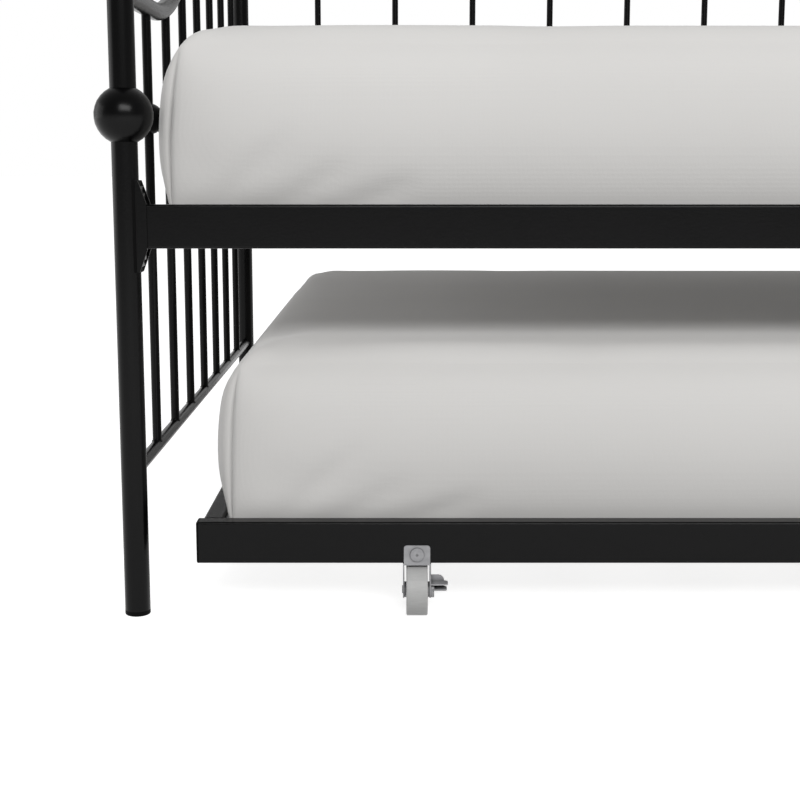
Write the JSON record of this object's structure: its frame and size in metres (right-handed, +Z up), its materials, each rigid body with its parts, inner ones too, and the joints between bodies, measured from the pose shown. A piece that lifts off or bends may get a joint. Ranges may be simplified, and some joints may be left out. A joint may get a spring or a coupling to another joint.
{
  "type": "trundle bed",
  "caption": "Black steel daybed with spindled end panels and ball collars, over a roll-out trundle frame on braked casters, each frame with its mattress.",
  "frame": {"origin": "on the floor at the middle of the bed's footprint", "axes": "+X along the bed, -Y the front where the trundle rolls out, +Z up"},
  "size_m": [2.0458, 1.0848, 0.9732],
  "materials": {
    "black_paint": "satin black powder coat",
    "mattress_fabric": "smooth pale grey stretch fabric",
    "caster_steel": "dull zinc-plated pressed steel",
    "wheel_plastic": "matt light grey moulded plastic",
    "black_plastic": "matt black moulded plastic",
    "zinc_steel": "zinc-plated fasteners"
  },
  "bodies": {
    "daybed": {"post_front_left": "black_paint", "post_front_right": "black_paint", "post_rear_left": "black_paint", "post_rear_right": "black_paint", "foot_glides": "black_plastic", "post_finials": "black_paint", "post_ball_collars": "black_paint", "back_lower_rail": "black_paint", "back_top_rail": "black_paint", "back_spindles": "black_paint", "back_spindle_collars": "black_paint", "side_rail_front": "black_paint", "side_rail_rear": "black_paint", "rail_brackets_front": "black_paint", "rail_brackets_rear": "black_paint", "bracket_saddles": "black_plastic", "rail_bolts": "black_paint", "post_nuts": "zinc_steel", "slat_ledge_front": "black_paint", "slat_ledge_rear": "black_paint", "bed_slats": "black_paint", "bed_slat_caps": "black_plastic", "daybed_mattress": "mattress_fabric", "end_bottom_rail_left": "black_paint", "end_bottom_rail_right": "black_paint", "end_middle_rail_left": "black_paint", "end_middle_rail_right": "black_paint", "arm_rail_left": "black_paint", "arm_rail_right": "black_paint", "end_spindles_left": "black_paint", "end_spindles_right": "black_paint", "end_spindle_collars_left": "black_paint", "end_spindle_collars_right": "black_paint"},
    "trundle": {"trundle_front_rail": "black_paint", "trundle_rear_rail": "black_paint", "trundle_side_rail_left": "black_paint", "trundle_side_rail_right": "black_paint", "trundle_end_plugs": "black_plastic", "trundle_corner_brackets": "black_paint", "trundle_corner_bolts": "zinc_steel", "trundle_ledge_front": "black_paint", "trundle_ledge_rear": "black_paint", "trundle_slats": "black_paint", "trundle_slat_caps": "black_plastic", "trundle_mattress": "mattress_fabric", "caster_fork_front_left": "caster_steel", "caster_fork_front_right": "caster_steel", "caster_fork_rear_left": "caster_steel", "caster_fork_rear_right": "caster_steel", "caster_axles": "zinc_steel", "caster_bushes": "caster_steel", "caster_rivets": "zinc_steel"},
    "wheel_front_left": {"wheel_front_left": "wheel_plastic"},
    "wheel_front_right": {"wheel_front_right": "wheel_plastic"},
    "wheel_rear_left": {"wheel_rear_left": "wheel_plastic"},
    "wheel_rear_right": {"wheel_rear_right": "wheel_plastic"},
    "brake_lever_left": {"brake_lever_left": "caster_steel"},
    "brake_lever_right": {"brake_lever_right": "caster_steel"}
  },
  "joints": [
    {"name": "trundle_slide", "type": "slide", "parent": "daybed", "child": "trundle", "axis": [0, -1, 0], "range_m": [0, 1]},
    {"name": "wheel_spin_front_left", "type": "hinge", "parent": "trundle", "child": "wheel_front_left", "pos_m": [-0.718, -0.5165, 0.0255], "axis": [1, 0, 0], "continuous": true},
    {"name": "wheel_spin_front_right", "type": "hinge", "parent": "trundle", "child": "wheel_front_right", "pos_m": [0.718, -0.5165, 0.0255], "axis": [1, 0, 0], "continuous": true},
    {"name": "wheel_spin_rear_left", "type": "hinge", "parent": "trundle", "child": "wheel_rear_left", "pos_m": [-0.718, 0.5125, 0.0255], "axis": [1, 0, 0], "continuous": true},
    {"name": "wheel_spin_rear_right", "type": "hinge", "parent": "trundle", "child": "wheel_rear_right", "pos_m": [0.718, 0.5125, 0.0255], "axis": [1, 0, 0], "continuous": true},
    {"name": "brake_lever_left_press", "type": "hinge", "parent": "trundle", "child": "brake_lever_left", "pos_m": [-0.718, -0.5165, 0.0255], "axis": [1, 0, 0], "range_deg": [0, 22]},
    {"name": "brake_lever_right_press", "type": "hinge", "parent": "trundle", "child": "brake_lever_right", "pos_m": [0.718, -0.5165, 0.0255], "axis": [1, 0, 0], "range_deg": [0, 22]}
  ],
  "couplings": [
    {"joint": "wheel_spin_front_left", "follows": "trundle_slide", "rad_per_m": 39.216},
    {"joint": "wheel_spin_front_right", "follows": "trundle_slide", "rad_per_m": 39.216},
    {"joint": "wheel_spin_rear_left", "follows": "trundle_slide", "rad_per_m": 39.216},
    {"joint": "wheel_spin_rear_right", "follows": "trundle_slide", "rad_per_m": 39.216}
  ]
}
